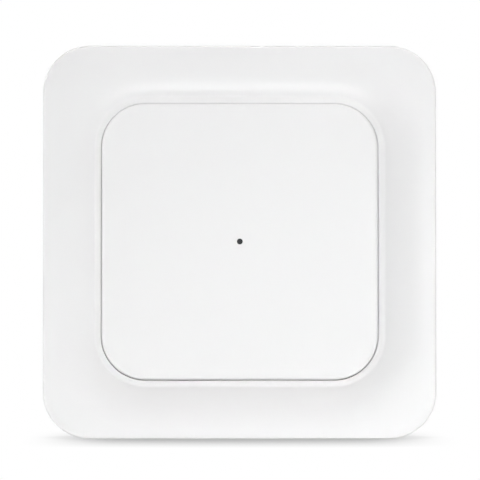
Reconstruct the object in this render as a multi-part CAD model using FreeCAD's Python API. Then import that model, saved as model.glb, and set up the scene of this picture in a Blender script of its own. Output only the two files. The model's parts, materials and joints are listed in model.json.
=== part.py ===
import FreeCAD, Part
import math
import os

from FreeCAD import Vector

# Wireless wall switch for a 60 mm wall box, in millimetres.
# The pieces are drawn lying on their backs: x to the right, y up the wall, z out of the wall.
# z = 0 is the wall and the z axis runs through the middle of the switch.
# stand_on_wall() turns them upright at the end: +Z up, face towards -Y, wall at y = 0.

# Rocker key, the square that is pressed
key_width = 55.8
key_corner = 8.9
key_gap = 0.2
key_proud = 1.4
key_edge_round = 1.0
key_face_wall = 1.5
key_skirt_wall = 1.3
key_skirt_depth = 4.1
key_rib_width = 0.9
key_rib_depth = 0.9
key_post_width = 4.0
key_room = 2.9
ear_radius = 2.4
ear_thickness = 1.5
ear_side_clearance = 0.2
ear_mouth = 2.0
ear_flare = 0.6
pad_width = 3.0
pad_thickness = 1.0
pad_gap = 0.05

# Pivot of the key on the module cover
pivot_rise = 0.6
stud_radius = 1.2
stud_end_clearance = 0.2
pivot_clearance = 0.05
upstand_radius = 1.9
upstand_thickness = 1.4
ear_pocket_clearance = 0.6

# Light window in the middle of the key
window_radius = 0.575
window_recess = 0.1
guide_radius = 1.1
guide_collar_radius = 1.8
guide_collar_height = 0.4
guide_boss_radius = 2.2
guide_boss_depth = 2.3
guide_reach = 1.6
guide_fit = 0.02
guide_hole_clearance = 0.5

# Cover frame
frame_width = 80.0
frame_corner = 9.5
frame_wall = 1.6
frame_edge_bevel = 0.5
frame_foot_gap = 0.4
rim_width = 1.65
cove_rise = 3.4
lip_width = 1.25
lip_bevel = 0.4
underside_slopes = 2
frame_skirt_wall = 1.3
frame_skirt_depth = 6.6
frame_rib_width = 0.9
frame_rib_offset = 25.0

# Wall bracket
bracket_side_room = 2.9
bracket_corner = 4.0
bracket_thickness = 1.8
bracket_rim_width = 1.2
bracket_rim_height = 1.2
bracket_opening = 40.0
bracket_opening_corner = 3.0
wall_box_spacing = 60.0
slot_width = 4.2
slot_length = 7.0
corner_hole_edge_distance = 6.5
corner_hole_width = 4.2

# Snap joint between frame and bracket
tab_offset = 16.0
tab_width = 6.0
tab_thickness = 1.2
tab_catch_level = 5.6
tab_top = 7.4
tab_reach = 1.3
tab_land = 0.5
ledge_width = 8.0
ledge_clearance = 0.5
ledge_play = 0.1
ledge_land = 0.5
ledge_root = 2.5

# Snap joint between bracket and module
claw_offset = 14.0
claw_width = 6.0
claw_thickness = 1.2
claw_clearance = 0.3
claw_catch_level = 6.0
claw_top = 7.0
claw_reach = 0.9
claw_land = 0.3
claw_window_clearance = 0.3

# Module housing
housing_wall = 1.2
housing_floor = 1.2
housing_side_clearance = 0.65
locating_rim_height = 1.0
locating_rim_width = 1.2
locating_rim_clearance = 0.15
floor_rib_height = 0.8
floor_rib_width = 0.9
board_rest_width = 3.0

# Circuit board
standoff_height = 1.6
board_thickness = 1.0
board_clearance = 0.3

# Module cover
cover_thickness = 1.2
cover_lip_depth = 1.0
cover_lip_width = 0.8
cover_lip_clearance = 0.1
battery_window_clearance = 0.4
battery_window_web = 1.4
plunger_hole_clearance = 0.45

# Module screws, in two opposite corners
screw_corners = ("top_left", "bottom_right")
screw_offset_y = 10.0
screw_edge_distance = 2.9
screw_shank_radius = 0.9
screw_head_radius = 1.8
screw_head_height = 1.0
screw_clearance = 0.2
screw_pilot_clearance = 0.05
screw_end_gap = 0.2
screw_floor_left = 0.4
boss_wall = 1.1

# Contact switches under the corners of the key
switch_width = 6.0
switch_height = 3.5
switch_edge_distance = 2.5
switch_cover_width = 5.8
switch_cover_thickness = 0.3
switch_room = 0.3
plunger_radius = 1.75
plunger_flange_width = 4.2
plunger_flange_height = 0.7
plunger_play = 0.05
plunger_proud = 0.3
cavity_clearance = 0.2
dome_width = 4.0
dome_crown_width = 2.2
dome_height = 0.55
dome_thickness = 0.12
terminal_width = 0.7
terminal_length = 1.0
terminal_thickness = 0.2
terminal_height = 0.7
terminal_offset = 1.8

# Battery
cell_radius = 8.0
cell_height = 3.2
cell_cap_radius = 6.9
cell_cap_height = 0.2
cell_edge_bevel = 0.3
holder_clearance = 0.2
holder_wall = 1.0
holder_floor = 0.5
holder_height = 3.0
holder_notch_width = 7.0
holder_hook_width = 2.4
holder_hook_reach = 0.7
holder_hook_play = 0.05
holder_hook_height = 0.6
holder_hook_angles = (50.0, 130.0)
contact_thickness = 0.2
contact_width = 2.6
contact_slot_clearance = 0.3
contact_foot_length = 1.8
contact_lean = 0.8
contact_arm_length = 5.0

# Radio and the chips on the board
antenna_length = 8.0
antenna_width = 2.0
antenna_height = 1.2
antenna_edge_distance = 1.5
antenna_keep_out = 1.5
radio_width = 16.0
radio_length = 11.0
radio_board_thickness = 0.8
can_width = 14.0
can_length = 8.6
can_height = 2.0
can_corner = 0.8
controller_width = 5.0
controller_height = 0.9
controller_place = (-13.0, 3.0)
crystal_size = (3.2, 2.5, 0.7)
crystal_place = (-13.0, 8.4)
buffer_size = (3.5, 2.8, 1.9)
buffer_place = (13.0, -4.0)
chip_capacitor_size = (1.6, 0.8, 0.8)
chip_capacitor_column = 13.9
chip_capacitor_pitch = 2.0
chip_capacitor_count = 4
chip_capacitor_start = 3.0
chip_resistor_size = (1.6, 0.8, 0.45)
chip_resistor_column = 11.2
chip_resistor_pitch = 2.0
chip_resistor_count = 5
chip_resistor_start = 2.0
led_width = 2.0
led_length = 1.25
led_base_height = 0.3
led_height = 0.8

# Heights above the wall, from the back of the module to the face of the key
housing_back = bracket_thickness
floor_top = housing_back + housing_floor
board_back = floor_top + standoff_height
board_front = board_back + board_thickness
switch_top = board_front + switch_height
cover_back = switch_top + switch_room
cover_front = cover_back + cover_thickness
plunger_top = cover_front + plunger_proud
pad_back = plunger_top + pad_gap
pad_front = pad_back + pad_thickness
pivot_height = cover_front + pivot_rise
key_underside = cover_front + key_room
key_top = key_underside + key_face_wall
key_back = key_top - key_skirt_depth
lip_height = key_top - key_proud
rim_height = lip_height - cove_rise
frame_skirt_back = lip_height - frame_skirt_depth

# Widths that follow from the pieces inside one another
opening_width = key_width + 2 * key_gap
opening_corner = key_corner + key_gap
crease_width = opening_width + 2 * lip_width
crease_corner = opening_corner + lip_width
cove_width = (frame_width - crease_width) / 2 - rim_width
cove_arc_radius = (cove_width**2 + cove_rise**2) / (2 * cove_rise)
cove_steepest = math.asin(cove_width / cove_arc_radius)
frame_inside = frame_width / 2 - frame_wall
bracket_half = frame_inside - bracket_side_room
bracket_width = 2 * bracket_half
housing_width = key_width - 2 * (key_skirt_wall + housing_side_clearance)
housing_half = housing_width / 2
housing_corner = key_corner - key_skirt_wall - housing_side_clearance
board_width = housing_width - 2 * (housing_wall + board_clearance)
board_corner = housing_corner - housing_wall - board_clearance
switch_offset = board_width / 2 - switch_edge_distance - switch_width / 2
screw_offset_x = board_width / 2 - screw_edge_distance
guide_hole_radius = guide_radius + guide_hole_clearance
upstand_inside = housing_half - upstand_thickness
ear_outside = upstand_inside - ear_side_clearance
ear_inside = ear_outside - ear_thickness
stud_end = ear_inside - stud_end_clearance

# Battery holder, hung below the light guide
holder_inner_radius = cell_radius + holder_clearance
holder_outer_radius = holder_inner_radius + holder_wall
battery_window_radius = holder_outer_radius + battery_window_clearance
cell_y = -(guide_hole_radius + battery_window_web + battery_window_radius)
holder_floor_top = board_front + holder_floor
cell_back = holder_floor_top + contact_thickness
cell_top = cell_back + cell_height

# Which corner of the module each contact switch stands in
corners = {
    "top_left": (-1, 1),
    "top_right": (1, 1),
    "bottom_left": (-1, -1),
    "bottom_right": (1, -1),
}


def box(x_range, y_range, z_range):
    size = [high - low for low, high in (x_range, y_range, z_range)]
    return Part.makeBox(*size, Vector(x_range[0], y_range[0], z_range[0]))


def centred_box(x, y, width, length, back, front):
    return box((x - width / 2, x + width / 2), (y - length / 2, y + length / 2), (back, front))


def disc(radius, back, front, x=0.0, y=0.0):
    return Part.makeCylinder(radius, front - back, Vector(x, y, back))


def rounded_outline(width, length, corner, level):
    # Closed outline of straight sides and corner arcs, starting at the foot of the right side.
    bow = corner * math.sqrt(0.5)
    edges = []
    for turn, (across, along) in enumerate([(width / 2, length / 2), (length / 2, width / 2)] * 2):
        straight = along - corner
        centre = across - corner
        side_end = Vector(across, straight, level)
        arc_middle = Vector(centre + bow, straight + bow, level)
        arc_end = Vector(centre, along, level)
        side = Part.LineSegment(Vector(across, -straight, level), side_end)
        for curve in (side, Part.Arc(side_end, arc_middle, arc_end)):
            edge = curve.toShape()
            edge.rotate(Vector(), Vector(0, 0, 1), 90 * turn)
            edges.append(edge)
    return Part.Wire(edges)


def rounded_plate(width, length, corner, back, front):
    outline = rounded_outline(width, length, corner, back)
    return Part.Face(outline).extrude(Vector(0, 0, front - back))


def rounded_block(width, corner, back, front):
    return rounded_plate(width, width, corner, back, front)


def side_prism(profile, centre, width):
    # Prism of an (x, z) profile on the right side, as wide as told along y.
    points = [Vector(x, centre - width / 2, z) for x, z in profile]
    outline = Part.makePolygon(points + points[:1])
    return Part.Face(outline).extrude(Vector(0, width, 0))


def pivot_tab(radius, x_range, root):
    # Tab that grows from the root height to the pivot and ends in a half round about it.
    x_low, x_high = x_range
    away = math.copysign(radius, pivot_height - root)
    left_root = Vector(x_low, -radius, root)
    left_end = Vector(x_low, -radius, pivot_height)
    right_end = Vector(x_low, radius, pivot_height)
    right_root = Vector(x_low, radius, root)
    edges = [
        Part.LineSegment(left_root, left_end).toShape(),
        Part.Arc(left_end, Vector(x_low, 0, pivot_height + away), right_end).toShape(),
        Part.LineSegment(right_end, right_root).toShape(),
        Part.LineSegment(right_root, left_root).toShape(),
    ]
    return Part.Face(Part.Wire(edges)).extrude(Vector(x_high - x_low, 0, 0))


def quarter_turns(shape):
    copies = []
    for turn in range(4):
        copy = shape.copy()
        copy.rotate(Vector(), Vector(0, 0, 1), 90 * turn)
        copies.append(copy)
    return copies


def both_sides(shape):
    return [shape, shape.mirror(Vector(), Vector(1, 0, 0))]


def one_solid(shape, additions=(), cuts=()):
    if additions:
        shape = shape.multiFuse(list(additions))
    for cut in cuts:
        shape = shape.cut(cut)
    return shape.removeSplitter().Solids[0]


def level_edges(shape, level, nearest=0.0, farthest=math.inf):
    # Edges that lie at one height and whose reach from the axis is within the limits.
    found = []
    for edge in shape.Edges:
        bounds = edge.BoundBox
        reach = max(abs(bounds.XMin), abs(bounds.XMax), abs(bounds.YMin), abs(bounds.YMax))
        is_level = max(abs(bounds.ZMin - level), abs(bounds.ZMax - level)) < 1e-5
        if is_level and nearest <= reach <= farthest:
            found.append(edge)
    return found


def cove_point(angle, radius):
    # Point of the cove's section, with the angle counted from the foot of the cove.
    foot_x = crease_width / 2 + cove_width
    centre_z = rim_height + cove_arc_radius
    start_y = crease_corner - crease_width / 2
    return Vector(foot_x - radius * math.sin(angle), start_y, centre_z - radius * math.cos(angle))


def straight_edges(points):
    return [Part.LineSegment(first, second).toShape() for first, second in zip(points, points[1:])]


def space_above(slope, crest, foot):
    # What lies over a slope that falls from crest to foot, swept round the crease.
    beyond = frame_width
    way_back = [
        foot,
        Vector(beyond, foot.y, foot.z),
        Vector(beyond, foot.y, key_top),
        Vector(crest.x, foot.y, key_top),
        crest,
    ]
    path = rounded_outline(crease_width, crease_width, crease_corner, lip_height)
    return path.makePipeShell([Part.Wire(slope + straight_edges(way_back))], True, False)


def space_above_cove():
    crest = cove_point(cove_steepest, cove_arc_radius)
    middle = cove_point(cove_steepest / 2, cove_arc_radius)
    foot = cove_point(0.0, cove_arc_radius)
    return space_above([Part.Arc(crest, middle, foot).toShape()], crest, foot)


def space_above_underside():
    # Underside of the cove: straight slopes that touch the arc lying one wall below it.
    step = cove_steepest / underside_slopes
    radius = (cove_arc_radius + frame_wall) / math.cos(step / 2)
    points = [cove_point(cove_steepest - step * turn, radius) for turn in range(underside_slopes + 1)]
    return space_above(straight_edges(points), points[0], points[-1])


def cover_frame():
    shell = rounded_block(frame_width, frame_corner, frame_foot_gap, lip_height)
    shell = shell.cut(space_above_cove())
    shell = shell.cut(rounded_block(opening_width, opening_corner, 0, key_top))
    lip_middle = (opening_width + lip_width) / 2
    shell = shell.makeChamfer(lip_bevel, level_edges(shell, lip_height, farthest=lip_middle))
    bevel_start = frame_width / 2 - frame_edge_bevel
    shell = shell.makeChamfer(frame_edge_bevel, level_edges(shell, rim_height, nearest=bevel_start))

    skirt_width = opening_width + 2 * frame_skirt_wall
    skirt_corner = opening_corner + frame_skirt_wall
    hollow = rounded_block(2 * frame_inside, frame_corner - frame_wall, 0, lip_height)
    hollow = hollow.cut(rounded_block(skirt_width, skirt_corner, frame_skirt_back, key_top))
    hollow = hollow.cut(space_above_underside())

    additions = []
    for place in (frame_rib_offset, -frame_rib_offset):
        y_range = (place - frame_rib_width / 2, place + frame_rib_width / 2)
        rib = box((skirt_width / 2, frame_inside), y_range, (frame_skirt_back, key_top))
        additions += quarter_turns(rib.common(hollow))
    for place in (tab_offset, -tab_offset):
        additions += quarter_turns(frame_ledge(place))
    return one_solid(shell.cut(hollow), additions)


def frame_ledge(place):
    # Wedge inside the frame that hooks behind a tab of the bracket.
    top = tab_catch_level - ledge_play
    inner = bracket_half + ledge_clearance
    profile = [
        (frame_inside, top - ledge_root),
        (frame_inside, top),
        (inner, top),
        (inner, top - ledge_land),
    ]
    return side_prism(profile, place, ledge_width)


def bracket_tab(place):
    # Springy tab on the edge of the bracket, with its catch outwards.
    outside = bracket_half
    inside = outside - tab_thickness
    profile = [
        (inside, 0),
        (outside, 0),
        (outside, tab_catch_level),
        (outside + tab_reach, tab_catch_level),
        (outside + tab_reach, tab_catch_level + tab_land),
        (outside, tab_top),
        (inside, tab_top),
    ]
    return side_prism(profile, place, tab_width)


def bracket_claw(place):
    # Springy claw beside the module, with its catch inwards.
    inside = housing_half + claw_clearance
    outside = inside + claw_thickness
    profile = [
        (inside, 0),
        (outside, 0),
        (outside, claw_top),
        (inside, claw_top),
        (inside - claw_reach, claw_catch_level + claw_land),
        (inside - claw_reach, claw_catch_level),
        (inside, claw_catch_level),
    ]
    return side_prism(profile, place, claw_width)


def wall_slot():
    # Slot for a wall-box screw on the right side, running outwards from the middle.
    middle = wall_box_spacing / 2
    half_run = (slot_length - slot_width) / 2
    slot = centred_box(middle, 0, 2 * half_run, slot_width, 0, bracket_thickness)
    ends = [disc(slot_width / 2, 0, bracket_thickness, middle + step, 0) for step in (-half_run, half_run)]
    return one_solid(slot, ends)


def wall_bracket():
    rim_top = bracket_thickness + bracket_rim_height
    plate = rounded_block(bracket_width, bracket_corner, 0, rim_top)
    inside_width = bracket_width - 2 * bracket_rim_width
    inside_corner = bracket_corner - bracket_rim_width
    plate = plate.cut(rounded_block(inside_width, inside_corner, bracket_thickness, rim_top))
    additions = []
    for place in (tab_offset, -tab_offset):
        additions += quarter_turns(bracket_tab(place))
    for place in (claw_offset, -claw_offset):
        additions += both_sides(bracket_claw(place))
    hole_place = bracket_half - corner_hole_edge_distance
    cuts = quarter_turns(wall_slot())
    cuts += quarter_turns(disc(corner_hole_width / 2, 0, bracket_thickness, hole_place, hole_place))
    cuts.append(rounded_block(bracket_opening, bracket_opening_corner, 0, bracket_thickness))
    return one_solid(plate, additions, cuts)


def screw_places():
    places = []
    for corner in screw_corners:
        right, up = corners[corner]
        places.append((right * screw_offset_x, up * screw_offset_y))
    return places


def switch_places():
    return [(right * switch_offset, up * switch_offset) for right, up in corners.values()]


def module_housing():
    tray = rounded_block(housing_width, housing_corner, housing_back, cover_back)
    inside_width = housing_width - 2 * housing_wall
    inside = rounded_block(inside_width, housing_corner - housing_wall, floor_top, cover_back)
    tray = tray.cut(inside)

    rim_width_outside = bracket_opening - 2 * locating_rim_clearance
    rim_width_inside = rim_width_outside - 2 * locating_rim_width
    rim_corner = bracket_opening_corner - locating_rim_clearance
    rim_back = housing_back - locating_rim_height
    rim = rounded_block(rim_width_outside, rim_corner, rim_back, housing_back)
    rim = rim.cut(rounded_block(rim_width_inside, rim_corner - locating_rim_width, rim_back, housing_back))
    additions = [rim]

    rib_top = floor_top + floor_rib_height
    rib_length = inside_width + housing_wall
    rib = centred_box(0, screw_offset_y, rib_length, floor_rib_width, floor_top, rib_top)
    additions += quarter_turns(rib)
    boss_radius = screw_shank_radius + boss_wall
    additions += [disc(boss_radius, floor_top, board_back, x, y) for x, y in screw_places()]
    rest = board_rest_width
    additions += [centred_box(x, y, rest, rest, floor_top, board_back) for x, y in switch_places()]

    pilot_radius = screw_shank_radius + screw_pilot_clearance
    pilot_back = housing_back + screw_floor_left
    cuts = [disc(pilot_radius, pilot_back, board_back, x, y) for x, y in screw_places()]
    window_back = claw_catch_level - claw_window_clearance
    window_front = claw_top + claw_window_clearance
    window_width = claw_width + 2 * claw_window_clearance
    for place in (claw_offset, -claw_offset):
        window = centred_box(housing_half, place, 2 * housing_wall, window_width, window_back, window_front)
        cuts += both_sides(window)
    return one_solid(tray, additions, cuts)


def circuit_board():
    board = rounded_block(board_width, board_corner, board_back, board_front)
    hole_radius = screw_shank_radius + screw_clearance
    cuts = [disc(hole_radius, board_back, board_front, x, y) for x, y in screw_places()]
    return one_solid(board, cuts=cuts)


def module_cover():
    plate = rounded_block(housing_width, housing_corner, cover_back, cover_front)
    lip_outside = housing_width - 2 * (housing_wall + cover_lip_clearance)
    lip_corner = housing_corner - housing_wall - cover_lip_clearance
    lip_back = cover_back - cover_lip_depth
    lip = rounded_block(lip_outside, lip_corner, lip_back, cover_back)
    lip_inside = lip_outside - 2 * cover_lip_width
    lip = lip.cut(rounded_block(lip_inside, lip_corner - cover_lip_width, lip_back, cover_back))
    additions = [lip]

    boss_radius = screw_shank_radius + screw_clearance + boss_wall
    additions += [disc(boss_radius, board_front, cover_back, x, y) for x, y in screw_places()]
    upstand = pivot_tab(upstand_radius, (upstand_inside, housing_half), cover_front)
    stud = Part.makeCylinder(
        stud_radius, upstand_inside - stud_end, Vector(stud_end, 0, pivot_height), Vector(1, 0, 0)
    )
    additions += both_sides(upstand) + both_sides(stud)

    screw_hole_radius = screw_shank_radius + screw_clearance
    cuts = [disc(screw_hole_radius, board_front, cover_front, x, y) for x, y in screw_places()]
    plunger_hole_radius = plunger_radius + plunger_hole_clearance
    cuts += [disc(plunger_hole_radius, cover_back, cover_front, x, y) for x, y in switch_places()]
    cuts.append(disc(guide_hole_radius, cover_back, cover_front))
    cuts.append(disc(battery_window_radius, cover_back, cover_front, 0, cell_y))
    pocket_half = ear_radius + ear_pocket_clearance
    pocket_x = (stud_end - stud_end_clearance, upstand_inside)
    pocket = box(pocket_x, (-pocket_half, pocket_half), (lip_back, cover_front))
    cuts += both_sides(pocket)
    return one_solid(plate, additions, cuts)


def module_screw(x, y):
    shank_end = housing_back + screw_floor_left + screw_end_gap
    shank = disc(screw_shank_radius, shank_end, cover_front, x, y)
    head = disc(screw_head_radius, cover_front, cover_front + screw_head_height, x, y)
    return one_solid(shank, [head])


def module_screws():
    return Part.makeCompound([module_screw(x, y) for x, y in screw_places()])


# Heights inside a contact switch
switch_cover_back = switch_top - switch_cover_thickness
flange_top = switch_cover_back - plunger_play
flange_back = flange_top - plunger_flange_height
cavity_back = flange_back - plunger_play - dome_height


def switch_base(x, y):
    base = centred_box(x, y, switch_width, switch_width, board_front, switch_cover_back)
    cavity_width = plunger_flange_width + 2 * cavity_clearance
    return base.cut(centred_box(x, y, cavity_width, cavity_width, cavity_back, switch_cover_back))


def switch_plunger(x, y):
    stem = disc(plunger_radius, flange_back, plunger_top, x, y)
    flange = centred_box(x, y, plunger_flange_width, plunger_flange_width, flange_back, flange_top)
    return one_solid(stem, [flange])


def switch_cover_plate(x, y):
    plate = centred_box(x, y, switch_cover_width, switch_cover_width, switch_cover_back, switch_top)
    return plate.cut(disc(plunger_radius + plunger_play, switch_cover_back, switch_top, x, y))


def square_cap(foot_width, crown_width, height):
    # Low block on the floor of the cavity, sloping inwards on four sides.
    profile = [
        (-foot_width / 2, cavity_back),
        (foot_width / 2, cavity_back),
        (crown_width / 2, cavity_back + height),
        (-crown_width / 2, cavity_back + height),
    ]
    ridge, ridge_across = quarter_turns(side_prism(profile, 0, foot_width))[:2]
    return ridge.common(ridge_across)


def switch_dome(x, y):
    # Snap dome: a thin sprung cap.
    inner_foot = dome_width - 2 * dome_thickness
    inner_crown = dome_crown_width - 2 * dome_thickness
    inside = square_cap(inner_foot, inner_crown, dome_height - dome_thickness)
    dome = square_cap(dome_width, dome_crown_width, dome_height).cut(inside)
    dome.translate(Vector(x, y, 0))
    return dome


def switch_terminal(x, y, right, up):
    # One solder lead, bent from the side of the base down to the board.
    root = switch_width / 2
    profile = [
        (root, board_front),
        (root + terminal_length, board_front),
        (root + terminal_length, board_front + terminal_thickness),
        (root + terminal_thickness, board_front + terminal_thickness),
        (root + terminal_thickness, board_front + terminal_height),
        (root, board_front + terminal_height),
    ]
    lead = side_prism(profile, up * terminal_offset, terminal_width)
    if right < 0:
        lead = lead.mirror(Vector(), Vector(1, 0, 0))
    lead.translate(Vector(x, y, 0))
    return lead


def switch_terminals():
    leads = []
    for x, y in switch_places():
        leads += [switch_terminal(x, y, right, up) for right, up in corners.values()]
    return Part.makeCompound(leads)


def key_blank():
    # Outer form of the key: a rounded square block with a rounded front edge.
    blank = rounded_block(key_width, key_corner, key_back, key_top)
    return blank.makeFillet(key_edge_round, level_edges(blank, key_top))


def key_ear():
    # Clip ear that snaps over the pivot stud, open at the back, with a flared mouth.
    ear = pivot_tab(ear_radius, (ear_inside, ear_outside), key_underside)
    bore = Part.makeCylinder(
        stud_radius + pivot_clearance, ear_thickness, Vector(ear_inside, 0, pivot_height), Vector(1, 0, 0)
    )
    ear_back = pivot_height - ear_radius
    mouth = box((ear_inside, ear_outside), (-ear_mouth / 2, ear_mouth / 2), (ear_back, pivot_height))
    flare_half = ear_mouth / 2 + ear_flare
    flare_points = [
        Vector(ear_inside, -flare_half, ear_back),
        Vector(ear_inside, flare_half, ear_back),
        Vector(ear_inside, 0, ear_back + flare_half),
    ]
    flare = Part.Face(Part.makePolygon(flare_points + flare_points[:1])).extrude(Vector(ear_thickness, 0, 0))
    return ear.cut(bore).cut(mouth).cut(flare)


def rocker_key():
    inside_width = key_width - 2 * key_skirt_wall
    hollow = rounded_block(inside_width, key_corner - key_skirt_wall, key_back, key_underside)
    rib_back = key_underside - key_rib_depth
    half_rib = key_rib_width / 2
    half_inside = inside_width / 2
    rib_lines = (switch_offset - half_rib, switch_offset + half_rib)
    additions = quarter_turns(
        box(rib_lines, (-half_inside, half_inside), (rib_back, key_underside)).common(hollow)
    )
    middle_rib_end = ear_inside
    additions.append(
        box((-middle_rib_end, middle_rib_end), (-half_rib, half_rib), (rib_back, key_underside))
    )
    post = key_post_width
    additions += [centred_box(x, y, post, post, pad_front, key_underside) for x, y in switch_places()]
    boss_back = key_underside - guide_boss_depth
    additions.append(disc(guide_boss_radius, boss_back, key_underside))
    additions += both_sides(key_ear())
    cuts = [
        disc(guide_radius + guide_fit, boss_back, key_underside),
        disc(window_radius + guide_fit, key_underside, key_top),
    ]
    return one_solid(key_blank().cut(hollow), additions, cuts)


def key_pads():
    pads = [centred_box(x, y, pad_width, pad_width, pad_back, pad_front) for x, y in switch_places()]
    return Part.makeCompound(pads)


def light_guide():
    boss_back = key_underside - guide_boss_depth
    collar_back = boss_back - guide_collar_height
    shank = disc(guide_radius, collar_back - guide_reach, key_underside)
    collar = disc(guide_collar_radius, collar_back, boss_back)
    tip = disc(window_radius, key_underside, key_top - window_recess)
    return one_solid(shank, [collar, tip])


def status_led():
    base = centred_box(0, 0, led_width, led_length, board_front, board_front + led_base_height)
    lens_width = led_width - 2 * led_base_height
    lens = centred_box(0, 0, lens_width, led_length, board_front + led_base_height, board_front + led_height)
    return one_solid(base, [lens])


def battery_holder():
    wall_top = board_front + holder_height
    ring = disc(holder_outer_radius, board_front, wall_top)
    well = disc(holder_inner_radius, holder_floor_top, wall_top)
    slot_half = contact_width / 2 + contact_slot_clearance
    contact_slots = box(
        (-holder_outer_radius, holder_outer_radius), (-slot_half, slot_half), (holder_floor_top, wall_top)
    )
    notch_half = holder_notch_width / 2
    notch = box((-notch_half, notch_half), (-holder_outer_radius, 0), (holder_floor_top, wall_top))
    holder = one_solid(ring, [], [well, contact_slots, notch])
    hooks = []
    hook_back = cell_top + holder_hook_play
    hook_top = hook_back + holder_hook_height
    hook_inside = cell_radius - holder_hook_reach
    hook_half = holder_hook_width / 2
    for angle in holder_hook_angles:
        hook = disc(holder_outer_radius, holder_floor_top, hook_top)
        hook = hook.cut(disc(holder_inner_radius, holder_floor_top, hook_back))
        hook = hook.cut(disc(hook_inside, hook_back, hook_top))
        sector = box((0, holder_outer_radius), (-hook_half, hook_half), (holder_floor_top, hook_top))
        sector.rotate(Vector(), Vector(0, 0, 1), angle)
        hooks.append(hook.common(sector))
    holder = one_solid(holder, hooks)
    holder.translate(Vector(0, cell_y, 0))
    return holder


def coin_cell():
    can_back = cell_back + cell_cap_height
    can = disc(cell_radius, can_back, cell_top)
    can = can.makeChamfer(cell_edge_bevel, level_edges(can, cell_top))
    cell = one_solid(can, [disc(cell_cap_radius, cell_back, can_back)])
    cell.translate(Vector(0, cell_y, 0))
    return cell


def battery_contact_negative():
    # Flat leaf under the cell, leaving through the holder's left slot and stepping down to the board.
    outside = holder_outer_radius
    foot_end = outside + contact_foot_length
    profile = [
        (-contact_arm_length, holder_floor_top),
        (-contact_arm_length, cell_back),
        (outside + contact_thickness, cell_back),
        (outside + contact_thickness, board_front + contact_thickness),
        (foot_end, board_front + contact_thickness),
        (foot_end, board_front),
        (outside, board_front),
        (outside, holder_floor_top),
    ]
    leaf = side_prism(profile, 0, contact_width)
    leaf = leaf.mirror(Vector(), Vector(1, 0, 0))
    leaf.translate(Vector(0, cell_y, 0))
    return leaf


def battery_contact_positive():
    # Sprung leaf that leans in through the holder's right slot and bears on the side of the cell.
    outside = holder_outer_radius
    foot_end = outside + contact_foot_length
    touch_level = (cell_back + cell_cap_height + cell_top) / 2
    tip_level = touch_level + contact_lean
    tip_x = cell_radius + contact_lean / 2
    profile = [
        (foot_end, board_front),
        (foot_end, board_front + contact_thickness),
        (outside + contact_thickness, board_front + contact_thickness),
        (outside + contact_thickness, holder_floor_top),
        (cell_radius + contact_thickness, touch_level),
        (tip_x + contact_thickness, tip_level),
        (tip_x, tip_level),
        (cell_radius, touch_level),
        (outside, holder_floor_top),
        (outside, board_front),
    ]
    leaf = side_prism(profile, 0, contact_width)
    leaf.translate(Vector(0, cell_y, 0))
    return leaf


# Radio module, placed below the aerial at the top edge of the board
antenna_y = board_width / 2 - antenna_edge_distance - antenna_width / 2
radio_y = antenna_y - antenna_width / 2 - antenna_keep_out - radio_length / 2
radio_board_front = board_front + radio_board_thickness


def chip_antenna():
    return centred_box(0, antenna_y, antenna_length, antenna_width, board_front, board_front + antenna_height)


def radio_board():
    return centred_box(0, radio_y, radio_width, radio_length, board_front, radio_board_front)


def radio_shield_can():
    can_top = radio_board_front + can_height
    can = rounded_plate(can_width, can_length, can_corner, radio_board_front, can_top)
    can.translate(Vector(0, radio_y, 0))
    return can


def chip(place, size):
    width, length, height = size
    return centred_box(*place, width, length, board_front, board_front + height)


def chip_column(column, start, pitch, count, size):
    return Part.makeCompound([chip((column, start + pitch * step), size) for step in range(count)])


def stand_on_wall(shape):
    upright = shape.copy()
    upright.rotate(Vector(), Vector(1, 0, 0), 90)
    return upright


def all_pieces():
    pieces = {
        "cover_frame": cover_frame(),
        "rocker_key": rocker_key(),
        "key_pads": key_pads(),
        "light_guide": light_guide(),
        "wall_bracket": wall_bracket(),
        "module_housing": module_housing(),
        "module_cover": module_cover(),
        "module_screws": module_screws(),
        "circuit_board": circuit_board(),
        "status_led": status_led(),
        "battery_holder": battery_holder(),
        "coin_cell": coin_cell(),
        "battery_contact_positive": battery_contact_positive(),
        "battery_contact_negative": battery_contact_negative(),
        "chip_antenna": chip_antenna(),
        "radio_board": radio_board(),
        "radio_shield_can": radio_shield_can(),
        "controller_chip": chip(controller_place, (controller_width, controller_width, controller_height)),
        "crystal": chip(crystal_place, crystal_size),
        "buffer_capacitor": chip(buffer_place, buffer_size),
        "chip_capacitors": chip_column(
            chip_capacitor_column,
            chip_capacitor_start,
            chip_capacitor_pitch,
            chip_capacitor_count,
            chip_capacitor_size,
        ),
        "chip_resistors": chip_column(
            chip_resistor_column,
            chip_resistor_start,
            chip_resistor_pitch,
            chip_resistor_count,
            chip_resistor_size,
        ),
        "switch_terminals": switch_terminals(),
        "switch_cover_plates": Part.makeCompound([switch_cover_plate(x, y) for x, y in switch_places()]),
        "switch_domes": Part.makeCompound([switch_dome(x, y) for x, y in switch_places()]),
    }
    for corner, (right, up) in corners.items():
        x = right * switch_offset
        y = up * switch_offset
        pieces["tact_switch_" + corner] = switch_base(x, y)
        pieces["plunger_" + corner] = switch_plunger(x, y)
    return pieces


os.makedirs("parts", exist_ok=True)
for node, piece in all_pieces().items():
    stand_on_wall(piece).exportStep("parts/" + node + ".step")
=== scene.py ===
import json
import math

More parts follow.
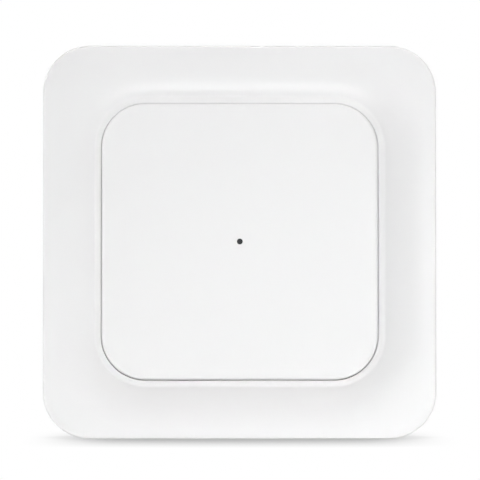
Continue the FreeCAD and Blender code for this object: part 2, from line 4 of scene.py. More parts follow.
import bmesh
import bpy
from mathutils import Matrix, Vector


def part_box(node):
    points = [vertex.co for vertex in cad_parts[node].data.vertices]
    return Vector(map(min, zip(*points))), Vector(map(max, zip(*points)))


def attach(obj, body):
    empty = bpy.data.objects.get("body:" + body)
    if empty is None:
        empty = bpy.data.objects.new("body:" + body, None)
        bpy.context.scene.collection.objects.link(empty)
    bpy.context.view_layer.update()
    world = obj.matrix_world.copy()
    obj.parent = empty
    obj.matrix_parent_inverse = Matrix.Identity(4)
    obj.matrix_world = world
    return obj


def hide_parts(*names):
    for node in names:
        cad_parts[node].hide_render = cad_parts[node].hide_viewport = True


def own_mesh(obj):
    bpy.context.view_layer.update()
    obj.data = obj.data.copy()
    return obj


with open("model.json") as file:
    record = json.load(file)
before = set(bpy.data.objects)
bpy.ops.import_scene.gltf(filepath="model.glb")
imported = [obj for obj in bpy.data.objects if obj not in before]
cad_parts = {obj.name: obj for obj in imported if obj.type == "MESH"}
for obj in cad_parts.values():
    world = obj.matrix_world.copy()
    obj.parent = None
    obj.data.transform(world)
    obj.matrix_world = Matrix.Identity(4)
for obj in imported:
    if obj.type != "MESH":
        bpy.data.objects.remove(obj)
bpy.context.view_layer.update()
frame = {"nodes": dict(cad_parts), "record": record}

# Looks of a wireless wall switch, in metres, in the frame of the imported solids.
# Sections are drawn as (distance from the middle of the switch, height above the wall).

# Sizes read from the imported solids
frame_low, frame_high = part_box("cover_frame")
key_low, key_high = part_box("rocker_key")
plunger_low, plunger_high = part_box("plunger_top_right")
frame_half = frame_high.x
frame_foot = -frame_high.y
lip_height = -frame_low.y
key_half = key_high.x
key_front = -key_low.y
switch_offset = (plunger_low.x + plunger_high.x) / 2

# Cover frame
frame_corner = 0.0095
frame_wall = 0.0016
frame_edge_round = 0.0004
frame_foot_round = 0.0003
rim_width = 0.00165
cove_rise = 0.0034
lip_width = 0.0013
lip_roll = 0.02
lip_edge_round = 0.00006
crease_round = 0.0009
skirt_wall = 0.0013
skirt_depth = 0.0066
frame_rib_width = 0.0009
frame_rib_offset = 0.025
rib_edge_round = 0.0001

# Snap ledges inside the frame
ledge_offset = 0.016
ledge_width = 0.008
ledge_top = 0.0055
ledge_root = 0.0025
ledge_land = 0.0005
ledge_inside = 0.036

# Rocker key
key_gap = 0.00015
key_lift = 0.00005
key_corner = 0.0089
key_edge_round = 0.0007
key_foot_round = 0.0002
key_face_wall = 0.0015
key_skirt_wall = 0.0013
key_skirt_depth = 0.0041
key_rib_width = 0.0009
key_rib_depth = 0.0009
post_width = 0.004
post_depth = 0.00155
inner_ring_half = 0.004
outer_ring_half = 0.014
outer_ring_corner = 0.008
ear_inside = 0.02285
ear_outside = 0.02435
ear_radius = 0.0024
ear_bore = 0.00125
ear_mouth = 0.002
ear_flare = 0.0006
pivot_height = 0.0112

# Light window in the middle of the key
window_radius = 0.000575
window_hole_radius = 0.000595
window_edge_round = 0.00008
window_recess = 0.0001
guide_radius = 0.0011
guide_bore_radius = 0.00112
guide_collar_radius = 0.0018
guide_collar_height = 0.0004
guide_boss_radius = 0.0022
guide_boss_depth = 0.0023
guide_reach = 0.0016

# Pads under the key and snap domes in the contact switches
pad_width = 0.003
pad_thickness = 0.001
dome_radius = 0.002
dome_height = 0.00055
dome_thickness = 0.00012
dome_foot = 0.00745
dome_crown_end = 89

# White plastic of the frame and the key, and where it is left matt
shell_light = (0.889, 0.885, 0.885)
shell_dark = (0.882, 0.878, 0.878)
gloss_roughness = (0.015, 0.03)
gloss_grain = 0.0025
gloss_depth = 0.0000004
matt_roughness = 0.6
matt_depth = 0.0002

# Patterns in the materials
pattern_low = 0.3
pattern_high = 0.7
drift_grains = 12
plastic_refraction = 1.5
brush_grain = 0.0004
brush_depth = 0.000002
track_density = 260
track_wobble = 1.5
track_depth = 0.00001
solder_mask_grain = 0.0008
solder_mask_roughness = (0.28, 0.4)
deep_green = (0.012, 0.10, 0.04)
pale_green = (0.03, 0.19, 0.08)

# Floor, and the painted shadow on it at the foot of the switch
floor_size = 3.0
floor_dark = (0.89, 0.89, 0.89)
floor_light = (0.90, 0.90, 0.90)
floor_grain = 0.05
floor_roughness = 0.9
shade_reach = 0.028
shade_fades = 0.024
shade_ends = 0.045
contact_shade = 0.5
half_open = 0.5
fully_open = 1.0

# Camera and light from all round
camera_distance = 0.5
camera_azimuth = -0.4
camera_elevation = -1.2
camera_near_end = 0.01
lens = 184.3
aim = Vector((0.00007, -0.0102, 0.0004))
world_strength = 0.2

# Steps in which curves are drawn, and how meshes are joined and rounded
corner_steps = 24
cove_steps = 28
underside_steps = 14
round_steps = 8
small_round_steps = 4
foot_steps = 3
key_edge_steps = 12
circle_steps = 48
bevel_steps = 3
four_sides = range(4)
merge_distance = 1e-7
sharp_angle = 35

# Widths and heights that follow
outer_centre = frame_half - frame_corner
inner_centre = key_half - key_corner
opening_half = key_half + key_gap
crease_half = opening_half + lip_width
cove_foot_half = frame_half - rim_width
cove_width = cove_foot_half - crease_half
cove_radius = (cove_width**2 + cove_rise**2) / (2 * cove_rise)
rim_height = lip_height - cove_rise
rim_underside = rim_height - frame_wall
cove_centre_height = rim_height + cove_radius
crease_centre_height = lip_height - crease_round
cove_reach = cove_radius + crease_round
cove_climb = cove_centre_height - crease_centre_height
crease_centre_half = cove_foot_half - math.sqrt(cove_reach**2 - cove_climb**2)
cove_sweep = math.degrees(math.acos(cove_climb / cove_reach))
skirt_back = lip_height - skirt_depth
frame_inside = frame_half - frame_wall
skirt_half = opening_half + skirt_wall
key_back = key_front - key_skirt_depth
key_underside = key_front - key_face_wall
key_inside = key_half - key_skirt_wall
post_back = key_underside - post_depth
boss_back = key_underside - guide_boss_depth


def on_side(half, along, height, turn=0):
    # Point so far out to one side of the switch, so far along that side and so high above the wall.
    # The side is the right-hand one, and each turn takes the next one anticlockwise.
    across, up = half, along
    for _ in range(turn):
        across, up = -up, across
    return Vector((across, -height, up))


def arc(half, height, radius, start, end, steps):
    # Arc in a section about the point (half, height), from one angle to another in degrees.
    points = []
    for step in range(steps + 1):
        angle = math.radians(start + (end - start) * step / steps)
        points.append((half + radius * math.cos(angle), height + radius * math.sin(angle)))
    return points


def square_ring(half, corner, height, lift=0):
    # Rounded square round the middle of the switch at one height above the wall, moved up by the lift.
    centre = half - corner
    ring = []
    for turn in four_sides:
        for step in range(corner_steps + 1):
            angle = math.radians(90 * step / corner_steps)
            across = centre + corner * math.cos(angle)
            up = centre + corner * math.sin(angle)
            ring.append(on_side(across, up, height, turn) + Vector((0, 0, lift)))
    return ring


def round_corners(section, centre, lift=0):
    # Rings of a section that runs round corners whose middle is the same for all of them.
    return [square_ring(half, half - centre, height, lift) for half, height in section]


def circles(section):
    # Rings of a section that runs in circles round the middle of the switch.
    return [square_ring(radius, radius, height) for radius, height in section]


def closed_skin(rings):
    # Faces between each ring and the next, and between the last one and the first.
    count = len(rings[0])
    vertices = [point for ring in rings for point in ring]
    faces = []
    for ring in range(len(rings)):
        here = ring * count
        there = (ring + 1) % len(rings) * count
        for step in range(count):
            after = (step + 1) % count
            faces.append((here + step, here + after, there + after, there + step))
    return vertices, faces


def bar(outline, start, end, turn=0):
    # Prism of a section on one side of the switch, from one place along that side to another.
    count = len(outline)
    vertices = [on_side(half, along, height, turn) for along in (start, end) for half, height in outline]
    faces = [tuple(range(count)), tuple(range(2 * count - 1, count - 1, -1))]
    for step in range(count):
        after = (step + 1) % count
        faces.append((step, step + count, after + count, after))
    return vertices, faces


def block(half_range, along_range, height_range, turn=0):
    # Box on one side of the switch, between two distances out, two places along and two heights.
    low, high = half_range
    back, front = height_range
    outline = [(low, back), (high, back), (high, front), (low, front)]
    return bar(outline, *along_range, turn)


def lathe(section, across, up):
    # Closed form turned about an axis that stands out of the wall at a place.
    vertices = []
    for radius, height in section:
        for step in range(circle_steps):
            angle = 2 * math.pi * step / circle_steps
            point = on_side(across + radius * math.cos(angle), up + radius * math.sin(angle), height)
            vertices.append(point)
    faces = []
    for ring in range(len(section) - 1):
        here = ring * circle_steps
        for step in range(circle_steps):
            after = (step + 1) % circle_steps
            there = here + circle_steps
            faces.append((here + step, here + after, there + after, there + step))
    last = (len(section) - 1) * circle_steps
    faces.append(tuple(range(circle_steps)))
    faces.append(tuple(range(last + circle_steps - 1, last - 1, -1)))
    return vertices, faces


def dress(piece, slot):
    # Gives a piece the material of its slot, in place of any other.
    piece.data.materials.clear()
    piece.data.materials.append(materials[slot])


def add_object(name, data):
    thing = bpy.data.objects.new(name, data)
    bpy.context.scene.collection.objects.link(thing)
    return thing


def make_piece(name, parts, body, slot, bevel=0.0):
    # One object out of several forms, smooth except at its sharp edges, that moves with a body.
    vertices = []
    faces = []
    for part_vertices, part_faces in parts:
        first = len(vertices)
        vertices += part_vertices
        faces += [tuple(first + index for index in face) for face in part_faces]
    mesh = bpy.data.meshes.new(name)
    mesh.from_pydata(vertices, [], faces)
    sculpt = bmesh.new()
    sculpt.from_mesh(mesh)
    bmesh.ops.remove_doubles(sculpt, verts=sculpt.verts, dist=merge_distance)
    bmesh.ops.recalc_face_normals(sculpt, faces=sculpt.faces)
    sculpt.to_mesh(mesh)
    sculpt.free()
    mesh.shade_smooth()
    mesh.set_sharp_from_angle(angle=math.radians(sharp_angle))
    piece = add_object(name, mesh)
    if bevel:
        rounding = piece.modifiers.new("rounded edges", "BEVEL")
        rounding.width = bevel
        rounding.segments = bevel_steps
        rounding.limit_method = "ANGLE"
        rounding.harden_normals = False
    shading = piece.modifiers.new("flat faces stay flat", "WEIGHTED_NORMAL")
    shading.keep_sharp = True
    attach(piece, body)
    dress(piece, slot)
    return piece


# Materials


def new_material(name):
    material = bpy.data.materials.new(name)
    material.use_nodes = True
    return material, material.node_tree.nodes["Principled BSDF"]


def add_node(material, kind, **settings):
    node = material.node_tree.nodes.new(kind)
    for setting, value in settings.items():
        setattr(node, setting, value)
    return node


def link(material, source, target):
    material.node_tree.links.new(source, target)


def object_coordinates(material, stretch=(1, 1, 1)):
    coordinates = add_node(material, "ShaderNodeTexCoord")
    mapping = add_node(material, "ShaderNodeMapping")
    mapping.inputs["Scale"].default_value = stretch
    link(material, coordinates.outputs["Object"], mapping.inputs["Vector"])
    return mapping.outputs["Vector"]


def coordinate(material, place, axis):
    parts = add_node(material, "ShaderNodeSeparateXYZ")
    link(material, place, parts.inputs["Vector"])
    return parts.outputs[axis]


def vector_step(material, operation, vector, by=(0, 0, 0), result="Vector"):
    step = add_node(material, "ShaderNodeVectorMath", operation=operation)
    link(material, vector, step.inputs[0])
    step.inputs[1].default_value = by
    return step.outputs[result]


def number_step(material, operation, number, by=0.0):
    step = add_node(material, "ShaderNodeMath", operation=operation)
    link(material, number, step.inputs[0])
    step.inputs[1].default_value = by
    return step.outputs[0]


def map_range(material, value, start, end, low, high, **settings):
    # Node that maps what lies between start and end to the range from low to high.
    mapped = add_node(material, "ShaderNodeMapRange", **settings)
    mapped.inputs["From Min"].default_value = start
    mapped.inputs["From Max"].default_value = end
    mapped.inputs["To Min"].default_value = low
    mapped.inputs["To Max"].default_value = high
    link(material, value, mapped.inputs["Value"])
    return mapped


def noise(material, grain, detail=2.0, stretch=(1, 1, 1)):
    # Soft random pattern whose patches are about grain metres wide.
    texture = add_node(material, "ShaderNodeTexNoise")
    texture.inputs["Scale"].default_value = 1 / grain
    texture.inputs["Detail"].default_value = detail
    link(material, object_coordinates(material, stretch), texture.inputs["Vector"])
    return texture.outputs["Fac"]


def spread_out(material, pattern, low, high):
    # The middle of a pattern's range, mapped to two values.
    return map_range(material, pattern, pattern_low, pattern_high, low, high).outputs["Result"]


def two_tones(material, pattern, first, second):
    # Colour that goes from one tone to another with a pattern.
    mix = add_node(material, "ShaderNodeMix", data_type="RGBA")
    mix.inputs["A"].default_value = (*first, 1)
    mix.inputs["B"].default_value = (*second, 1)
    link(material, spread_out(material, pattern, 0.0, 1.0), mix.inputs["Factor"])
    return mix.outputs["Result"]


def raise_surface(material, shader, pattern, depth, strength=1.0):
    # Shades a surface as though a pattern stood out of it, to a depth in metres.
    bump = add_node(material, "ShaderNodeBump")
    bump.inputs["Distance"].default_value = depth
    bump.inputs["Strength"].default_value = strength
    link(material, pattern, bump.inputs["Height"])
    link(material, bump.outputs["Normal"], shader.inputs["Normal"])


def moulded_plastic(name, light, dark, roughness, grain, depth):
    # Plastic whose colour drifts a little, with the texture that the mould leaves.
    material, shader = new_material(name)
    drift = noise(material, grain * drift_grains)
    link(material, two_tones(material, drift, dark, light), shader.inputs["Base Color"])
    texture = noise(material, grain, detail=4.0)
    link(material, spread_out(material, texture, *roughness), shader.inputs["Roughness"])
    raise_surface(material, shader, texture, depth)
    shader.inputs["IOR"].default_value = plastic_refraction
    return material


def in_or_behind_gap(material):
    # One down the sides of the gap round the key and behind it, else nought.
    place = object_coordinates(material)
    outward = vector_step(material, "ABSOLUTE", place)
    past_centre = vector_step(material, "SUBTRACT", outward, (inner_centre, 0, inner_centre))
    corner_way = vector_step(material, "MAXIMUM", past_centre)
    level_way = vector_step(material, "MULTIPLY", corner_way, (1, 0, 1))
    from_centre = vector_step(material, "LENGTH", level_way, result="Value")
    within = number_step(material, "LESS_THAN", from_centre, opening_half + lip_edge_round - inner_centre)
    depth = coordinate(material, place, "Y")
    behind = number_step(material, "GREATER_THAN", depth, matt_depth - lip_height)
    both = add_node(material, "ShaderNodeMath", operation="MULTIPLY")
    link(material, within, both.inputs[0])
    link(material, behind, both.inputs[1])
    return both.outputs[0]


def gloss_shell(name):
    # Glossy white plastic, left matt from the mould where it would reflect out through the gap.
    material = moulded_plastic(name, shell_light, shell_dark, gloss_roughness, gloss_grain, gloss_depth)
    roughness = material.node_tree.nodes["Principled BSDF"].inputs["Roughness"]
    choice = add_node(material, "ShaderNodeMix", data_type="FLOAT")
    link(material, in_or_behind_gap(material), choice.inputs["Factor"])
    link(material, roughness.links[0].from_socket, choice.inputs["A"])
    choice.inputs["B"].default_value = matt_roughness
    link(material, choice.outputs["Result"], roughness)
    return material


def brushed_metal(name, light, dark, roughness):
    # Metal with fine marks drawn out from side to side.
    material, shader = new_material(name)
    shader.inputs["Metallic"].default_value = 1.0
    brushing = noise(material, brush_grain, detail=5.0, stretch=(0.08, 1, 1))
    link(material, two_tones(material, brushing, dark, light), shader.inputs["Base Color"])
    link(material, spread_out(material, brushing, *roughness), shader.inputs["Roughness"])
    raise_surface(material, shader, brushing, brush_depth)
    return material


def board_laminate(name):
    # Green solder mask, paler over the tracks that run under it.
    material, shader = new_material(name)
    waves = add_node(material, "ShaderNodeTexWave", bands_direction="Z")
    waves.inputs["Scale"].default_value = track_density
    waves.inputs["Distortion"].default_value = track_wobble
    link(material, object_coordinates(material), waves.inputs["Vector"])
    tracks = waves.outputs["Fac"]
    link(material, two_tones(material, tracks, deep_green, pale_green), shader.inputs["Base Color"])
    mask = noise(material, solder_mask_grain)
    link(material, spread_out(material, mask, *solder_mask_roughness), shader.inputs["Roughness"])
    raise_surface(material, shader, tracks, track_depth, strength=0.5)
    return material


# Two tones of each plain plastic and metal and the range of its roughness, and for a plastic the grain
# and the depth of the texture that the mould leaves on it
plastic_looks = {
    "bracket_plastic": dict(
        light=(0.70, 0.70, 0.69), dark=(0.66, 0.66, 0.65),
        roughness=(0.42, 0.58), grain=0.0003, depth=0.000012,
    ),
    "module_plastic": dict(
        light=(0.80, 0.80, 0.79), dark=(0.77, 0.77, 0.76),
        roughness=(0.38, 0.52), grain=0.0003, depth=0.00001,
    ),
    "smoked_window": dict(
        light=(0.030, 0.030, 0.033), dark=(0.022, 0.022, 0.025),
        roughness=(0.07, 0.12), grain=0.0004, depth=0.0000005,
    ),
    "soft_pad": dict(
        light=(0.30, 0.30, 0.31), dark=(0.25, 0.25, 0.26),
        roughness=(0.65, 0.8), grain=0.00015, depth=0.000008,
    ),
    "switch_plastic": dict(
        light=(0.040, 0.040, 0.044), dark=(0.028, 0.028, 0.031),
        roughness=(0.4, 0.55), grain=0.0002, depth=0.000006,
    ),
    "holder_plastic": dict(
        light=(0.068, 0.068, 0.073), dark=(0.050, 0.050, 0.054),
        roughness=(0.42, 0.6), grain=0.0002, depth=0.000008,
    ),
    "chip_resin": dict(
        light=(0.032, 0.032, 0.034), dark=(0.022, 0.022, 0.023),
        roughness=(0.5, 0.68), grain=0.00012, depth=0.000006,
    ),
    "ceramic_tan": dict(
        light=(0.56, 0.43, 0.29), dark=(0.48, 0.36, 0.23),
        roughness=(0.45, 0.6), grain=0.0001, depth=0.000004,
    ),
    "ceramic_white": dict(
        light=(0.82, 0.84, 0.85), dark=(0.76, 0.78, 0.80),
        roughness=(0.15, 0.25), grain=0.0002, depth=0.000002,
    ),
    "tantalum_yellow": dict(
        light=(0.78, 0.52, 0.09), dark=(0.70, 0.44, 0.07),
        roughness=(0.4, 0.55), grain=0.0002, depth=0.000005,
    ),
    "led_resin": dict(
        light=(0.88, 0.86, 0.68), dark=(0.82, 0.79, 0.58),
        roughness=(0.08, 0.16), grain=0.0003, depth=0.000002,
    ),
}

metal_looks = {
    "tinned_steel": dict(light=(0.70, 0.70, 0.68), dark=(0.58, 0.58, 0.57), roughness=(0.25, 0.4)),
    "cell_steel": dict(light=(0.72, 0.72, 0.71), dark=(0.62, 0.62, 0.61), roughness=(0.16, 0.28)),
    "spring_brass": dict(light=(0.80, 0.62, 0.30), dark=(0.70, 0.52, 0.22), roughness=(0.2, 0.35)),
    "screw_steel": dict(light=(0.62, 0.62, 0.61), dark=(0.50, 0.50, 0.50), roughness=(0.28, 0.42)),
}


def slot_materials():
    # One material for each slot of the record, under the slot's name.
    made = {"white_gloss_shell": gloss_shell("white_gloss_shell")}
    for slot, looks in plastic_looks.items():
        made[slot] = moulded_plastic(slot, **looks)
    made["board_laminate"] = board_laminate("board_laminate")
    for slot, looks in metal_looks.items():
        made[slot] = brushed_metal(slot, **looks)
    return made


# Pieces


def frame_outside():
    # Up the outside of the frame, from its foot to its rim.
    foot_centre = (frame_half - frame_foot_round, frame_foot + frame_foot_round)
    foot = arc(*foot_centre, frame_foot_round, 270, 360, foot_steps)
    edge_centre = (frame_half - frame_edge_round, rim_height - frame_edge_round)
    edge = arc(*edge_centre, frame_edge_round, 0, 90, round_steps)
    return [(frame_inside, frame_foot)] + foot + edge


def frame_cove():
    # The cove, which rises inward from the rim, and the rounded crease at its top.
    cove = arc(cove_foot_half, cove_centre_height, cove_radius, 270, 270 - cove_sweep, cove_steps)
    crease_centre = (crease_centre_half, crease_centre_height)
    crease = arc(*crease_centre, crease_round, 90 - cove_sweep, 90, round_steps)
    return cove + crease


def frame_lip():
    # From the crease over the curved lip, round its edge, and down the opening to the end of the skirt.
    edge_centre_half = opening_half + lip_edge_round
    inner_roll = lip_roll - lip_edge_round
    lip_slope = math.asin((crease_centre_half - edge_centre_half) / inner_roll)
    lip_end = 90 + math.degrees(lip_slope)
    roll_height = lip_height - lip_roll
    lip = arc(crease_centre_half, roll_height, lip_roll, 90, lip_end, round_steps)
    edge_height = roll_height + inner_roll * math.cos(lip_slope)
    edge = arc(edge_centre_half, edge_height, lip_edge_round, lip_end, 180, small_round_steps)
    return lip + edge + [(opening_half, skirt_back), (skirt_half, skirt_back)]


def frame_underside():
    # Back under the cove, one wall's thickness behind it.
    radius = cove_radius + frame_wall
    highest = math.degrees(math.asin((cove_foot_half - skirt_half) / radius))
    return arc(cove_foot_half, cove_centre_height, radius, 270 - highest, 270, underside_steps)


def frame_moulding():
    # Closed skin of the frame: up the outside, over rim, cove and lip, down the opening, back inside.
    return closed_skin(
        round_corners(frame_outside(), outer_centre)
        + round_corners(frame_cove() + frame_lip() + frame_underside(), inner_centre)
        + round_corners([(frame_inside, rim_underside)], outer_centre)
    )


def frame_ribs_and_ledges():
    # Ribs between the frame's skirt and its outer wall, and the ledges that snap behind the bracket.
    half_rib = frame_rib_width / 2
    half_ledge = ledge_width / 2
    ledge = [
        (frame_inside, ledge_top - ledge_root),
        (frame_inside, ledge_top),
        (ledge_inside, ledge_top),
        (ledge_inside, ledge_top - ledge_land),
    ]
    parts = []
    for turn in four_sides:
        for side in (-1, 1):
            rib_range = (side * frame_rib_offset - half_rib, side * frame_rib_offset + half_rib)
            parts.append(block((skirt_half, frame_inside), rib_range, (skirt_back, rim_underside), turn))
            middle = side * ledge_offset
            parts.append(bar(ledge, middle - half_ledge, middle + half_ledge, turn))
    return parts


def face_rings(height):
    # Two rings that part the key's face, or its underside, between the window and the edge.
    return [
        square_ring(inner_ring_half, inner_ring_half, height),
        square_ring(outer_ring_half, outer_ring_corner, height),
    ]


def key_moulding():
    # Closed skin of the key: from the window over the face, round the skirt, back underneath.
    # Its outside is drawn a little high in the frame's opening.
    hole_centre = (window_hole_radius + window_edge_round, key_front - window_edge_round)
    hole = arc(*hole_centre, window_edge_round, 180, 90, small_round_steps)
    edge_centre = (key_half - key_edge_round, key_front - key_edge_round)
    edge = arc(*edge_centre, key_edge_round, 90, 0, key_edge_steps)
    foot_centre = (key_half - key_foot_round, key_back + key_foot_round)
    foot = arc(*foot_centre, key_foot_round, 0, -90, foot_steps)
    inside = [(key_inside, key_back), (key_inside, key_underside)]
    boss = [
        (guide_boss_radius, key_underside),
        (guide_boss_radius, boss_back),
        (guide_bore_radius, boss_back),
        (guide_bore_radius, key_underside),
        (window_hole_radius, key_underside),
    ]
    return closed_skin(
        circles(hole)
        + face_rings(key_front)
        + round_corners(edge + foot, inner_centre, key_lift)
        + round_corners(inside, inner_centre)
        + face_rings(key_underside)[::-1]
        + circles(boss)
    )


def key_ribs_and_posts():
    # Crossed ribs under the face, the rib between the clip ears, and the posts over the contact switches.
    half_rib = key_rib_width / 2
    half_post = post_width / 2
    rib_heights = (key_underside - key_rib_depth, key_underside)
    rib_range = (switch_offset - half_rib, switch_offset + half_rib)
    post_range = (switch_offset - half_post, switch_offset + half_post)
    ribs = [block(rib_range, (-key_inside, key_inside), rib_heights, turn) for turn in four_sides]
    ear_rib = block((-ear_inside, ear_inside), (-half_rib, half_rib), rib_heights)
    posts = [block(post_range, post_range, (post_back, key_underside), turn) for turn in four_sides]
    return ribs + [ear_rib] + posts


def key_clip_ears():
    # Ears that snap over the pivot studs, open at the back with a flared mouth.
    half_mouth = ear_mouth / 2
    mouth_angle = math.degrees(math.asin(half_mouth / ear_bore))
    flare_angle = math.degrees(math.asin((half_mouth + ear_flare) / ear_radius))
    bore = arc(0, pivot_height, ear_bore, 270 + mouth_angle, 630 - mouth_angle, circle_steps)
    left_outside = arc(0, pivot_height, ear_radius, 270 - flare_angle, 180, round_steps)
    right_outside = arc(0, pivot_height, ear_radius, 360, 270 + flare_angle, round_steps)
    root = [(-ear_radius, key_underside), (ear_radius, key_underside)]
    outline = bore + left_outside + root + right_outside
    spans = ((ear_inside, ear_outside), (-ear_outside, -ear_inside))
    return [bar(outline, start, end, turn=1) for start, end in spans]


def light_window():
    # Light guide in the key's boss, from its foot over its collar to the rounded tip in the window.
    collar_back = boss_back - guide_collar_height
    tip_centre = (window_radius - window_edge_round, key_front - window_recess - window_edge_round)
    tip = arc(*tip_centre, window_edge_round, 0, 90, small_round_steps)
    section = [
        (guide_radius, collar_back - guide_reach),
        (guide_radius, collar_back),
        (guide_collar_radius, collar_back),
        (guide_collar_radius, boss_back),
        (guide_radius, boss_back),
        (guide_radius, key_underside),
        (window_radius, key_underside),
    ]
    return lathe(section + tip, 0, 0)


def corner_places():
    # Places of the four contact switches, by the names of their corners.
    places = {}
    for up_name, up in (("top", 1), ("bottom", -1)):
        for side_name, side in (("left", -1), ("right", 1)):
            places[up_name + "_" + side_name] = (side * switch_offset, up * switch_offset)
    return places


def silicone_pads():
    # Soft pads on the backs of the key's posts.
    half = pad_width / 2
    pad_range = (post_back - pad_thickness, post_back)
    parts = []
    for across, up in corner_places().values():
        parts.append(block((across - half, across + half), (up - half, up + half), pad_range))
    return parts


def snap_dome(across, up):
    # Thin cap with a curved crown, up its inside to the crown and down its outside.
    sphere = (dome_radius**2 + dome_height**2) / (2 * dome_height)
    half_angle = math.degrees(math.asin(dome_radius / sphere))
    middle = dome_foot + dome_height - sphere
    inner = sphere - dome_thickness
    inner_angle = math.degrees(math.acos((dome_foot - middle) / inner))
    inside = arc(0, middle, inner, 90 - inner_angle, dome_crown_end, round_steps)
    outside = arc(0, middle, sphere, dome_crown_end, 90 - half_angle, round_steps)
    return lathe(inside + outside, across, up)


def draw_shell():
    # Frame and key, the pieces of glossy white plastic.
    slot = "white_gloss_shell"
    moulding = make_piece("frame_moulding", [frame_moulding()], "base", slot)
    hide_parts("cover_frame")
    make_piece("frame_ribs_and_ledges", frame_ribs_and_ledges(), "base", slot, rib_edge_round)
    key = make_piece("key_moulding", [key_moulding()], "key", slot)
    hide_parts("rocker_key")
    make_piece("key_ribs_and_posts", key_ribs_and_posts(), "key", slot, rib_edge_round)
    make_piece("key_clip_ears", key_clip_ears(), "key", slot, rib_edge_round)


def draw_window_and_pads():
    # The light guide and the soft pads, which both move with the key. The pads get a mesh of their own;
    # their flattening as it tilts is not drawn here.
    window = make_piece("light_window", [light_window()], "key", "smoked_window")
    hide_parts("light_guide")
    soft = make_piece("silicone_pads", silicone_pads(), "key", "soft_pad")
    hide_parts("key_pads")
    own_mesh(soft)


def draw_domes():
    # The snap dome of each contact switch, with a mesh of its own; its flattening as its plunger goes in is
    # not drawn here.
    for corner, place in corner_places().items():
        dome = make_piece("snap_dome_" + corner, [snap_dome(*place)], "base", "tinned_steel")
        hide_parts("switch_domes")
        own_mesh(dome)


def dress_solids():
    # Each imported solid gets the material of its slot, those that are drawn anew too.
    for part in frame["record"]["subparts"]:
        dress(frame["nodes"][part["node"]], part["material_slot"])


# Surroundings


def toward(azimuth, elevation):
    # Direction from the switch, in degrees to the right of straight ahead and above the level.
    across = math.radians(azimuth)
    above = math.radians(elevation)
    level = math.cos(above)
    return Vector((level * math.sin(across), -level * math.cos(across), math.sin(above)))


def point_at(thing, target):
    thing.rotation_euler = (target - thing.location).to_track_quat("-Z", "Y").to_euler()


def add_camera():
    camera = add_object("camera", bpy.data.cameras.new("camera"))
    camera.location = aim + toward(camera_azimuth, camera_elevation) * camera_distance
    point_at(camera, aim)
    camera.data.lens = lens
    camera.data.clip_start = camera_near_end
    bpy.context.scene.camera = camera


def add_softbox(name, place, size, radiance, target=(0, 0, 0), spread=180, mirrored=False):
    # Soft rectangular lamp; place is its azimuth, elevation and distance. A narrow spread makes a beam.
    azimuth, elevation, distance = place
    width, height = size
    light = bpy.data.lights.new(name, "AREA")
    light.shape = "RECTANGLE"
    light.size = width
    light.size_y = height
    light.spread = math.radians(spread)
    light.energy = radiance * math.pi * width * height
    lamp = add_object(name, light)
    lamp.visible_glossy = mirrored
    lamp.location = toward(azimuth, elevation) * distance
    point_at(lamp, Vector(target))


def white_where_seen(tree, seen, unseen, output):
    # One shader for what the camera, reflections and clear parts see, and another for the light it gives.
    path = tree.nodes.new("ShaderNodeLightPath")
    is_seen = path.outputs["Is Camera Ray"]
    for ray in ("Is Glossy Ray", "Is Transmission Ray"):
        either = tree.nodes.new("ShaderNodeMath")
        either.operation = "MAXIMUM"
        tree.links.new(is_seen, either.inputs[0])
        tree.links.new(path.outputs[ray], either.inputs[1])
        is_seen = either.outputs[0]
    mix = tree.nodes.new("ShaderNodeMixShader")
    tree.links.new(is_seen, mix.inputs["Fac"])
    tree.links.new(unseen, mix.inputs[1])
    tree.links.new(seen, mix.inputs[2])
    tree.links.new(mix.outputs[0], output)


def light_world():
    # Weak even light from all round, from a background that is seen as white.
    world = bpy.data.worlds.new("studio")
    world.use_nodes = True
    bpy.context.scene.world = world
    tree = world.node_tree
    lighting = tree.nodes["Background"]
    lighting.inputs["Color"].default_value = (1, 1, 1, 1)
    lighting.inputs["Strength"].default_value = world_strength
    white = tree.nodes.new("ShaderNodeBackground")
    white.inputs["Color"].default_value = (1, 1, 1, 1)
    white.inputs["Strength"].default_value = 1.0
    output = tree.nodes["World Output"].inputs["Surface"]
    white_where_seen(tree, white.outputs[0], lighting.outputs[0], output)


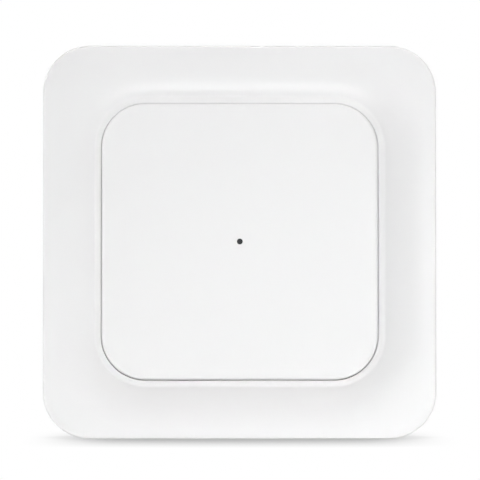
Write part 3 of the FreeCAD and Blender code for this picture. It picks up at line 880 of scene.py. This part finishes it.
def painted_floor_shade(material):
    # How bright the floor looks, as a painted shadow: darkest where the switch closes it in, and less so
    # towards its two sides, where the shadow is faded out by distance alone.
    openness = add_node(material, "ShaderNodeAmbientOcclusion")
    openness.inputs["Distance"].default_value = shade_reach
    aside = number_step(material, "ABSOLUTE", coordinate(material, object_coordinates(material), "X"))
    darkest = map_range(
        material, aside, shade_fades, shade_ends, contact_shade, 1.0, interpolation_type="SMOOTHSTEP"
    )
    # Painted shadow: the glow is turned down by ambient occlusion, not shaded by the lamps.
    shade = map_range(material, openness.outputs["AO"], half_open, fully_open, contact_shade, 1.0)
    link(material, darkest.outputs["Result"], shade.inputs["To Min"])
    return shade.outputs["Result"]


def floor_material():
    # Pale matt floor that is seen as white, but for the painted shadow at the foot of the switch.
    material, shader = new_material("pale_floor")
    mottle = noise(material, floor_grain)
    link(material, two_tones(material, mottle, floor_dark, floor_light), shader.inputs["Base Color"])
    shader.inputs["Roughness"].default_value = floor_roughness
    shader.inputs["Specular IOR Level"].default_value = 0.0
    white = add_node(material, "ShaderNodeEmission")
    link(material, painted_floor_shade(material), white.inputs["Strength"])
    output = material.node_tree.nodes["Material Output"].inputs["Surface"]
    white_where_seen(material.node_tree, white.outputs[0], shader.outputs[0], output)
    return material


def add_floor():
    # Level square on which the frame stands.
    mesh = bpy.data.meshes.new("floor")
    half = floor_size / 2
    level = -frame_half
    corners = [(-half, -half, level), (half, -half, level), (half, half, level), (-half, half, level)]
    mesh.from_pydata(corners, [], [(0, 1, 2, 3)])
    floor = add_object("floor", mesh)
    mesh.materials.append(floor_material())


def add_lamps():
    # Two lamps overhead, of which reflections see one, lamps in front, at the right and behind,
    # and two beams that favour the right and the bottom.
    add_softbox("softbox_above", place=(0, 64.5, 0.9), size=(1.15, 0.22), radiance=2.7, mirrored=True)
    add_softbox("top_light", place=(0, 80, 0.9), size=(0.8, 0.4), radiance=0.4)
    add_softbox("front_light", place=(0, 20, 1.0), size=(0.35, 0.35), radiance=1.8)
    add_softbox("side_light", place=(60, 8, 1.0), size=(0.35, 0.35), radiance=3.2)
    add_softbox(
        "front_beam", place=(0, 3, 1.0), size=(0.2, 0.15), radiance=1.18, target=(0.06, 0, -0.06), spread=30
    )
    add_softbox(
        "left_beam", place=(-61, 5, 1.0), size=(0.1, 0.1), radiance=1.4, target=(0.09, 0, -0.02), spread=24
    )
    add_softbox("back_light", place=(180, 12, 1.2), size=(0.6, 0.6), radiance=5.0)


materials = slot_materials()
dress_solids()
draw_shell()
draw_window_and_pads()
draw_domes()
add_camera()
light_world()
add_floor()
add_lamps()
bpy.context.scene.view_settings.view_transform = "Standard"
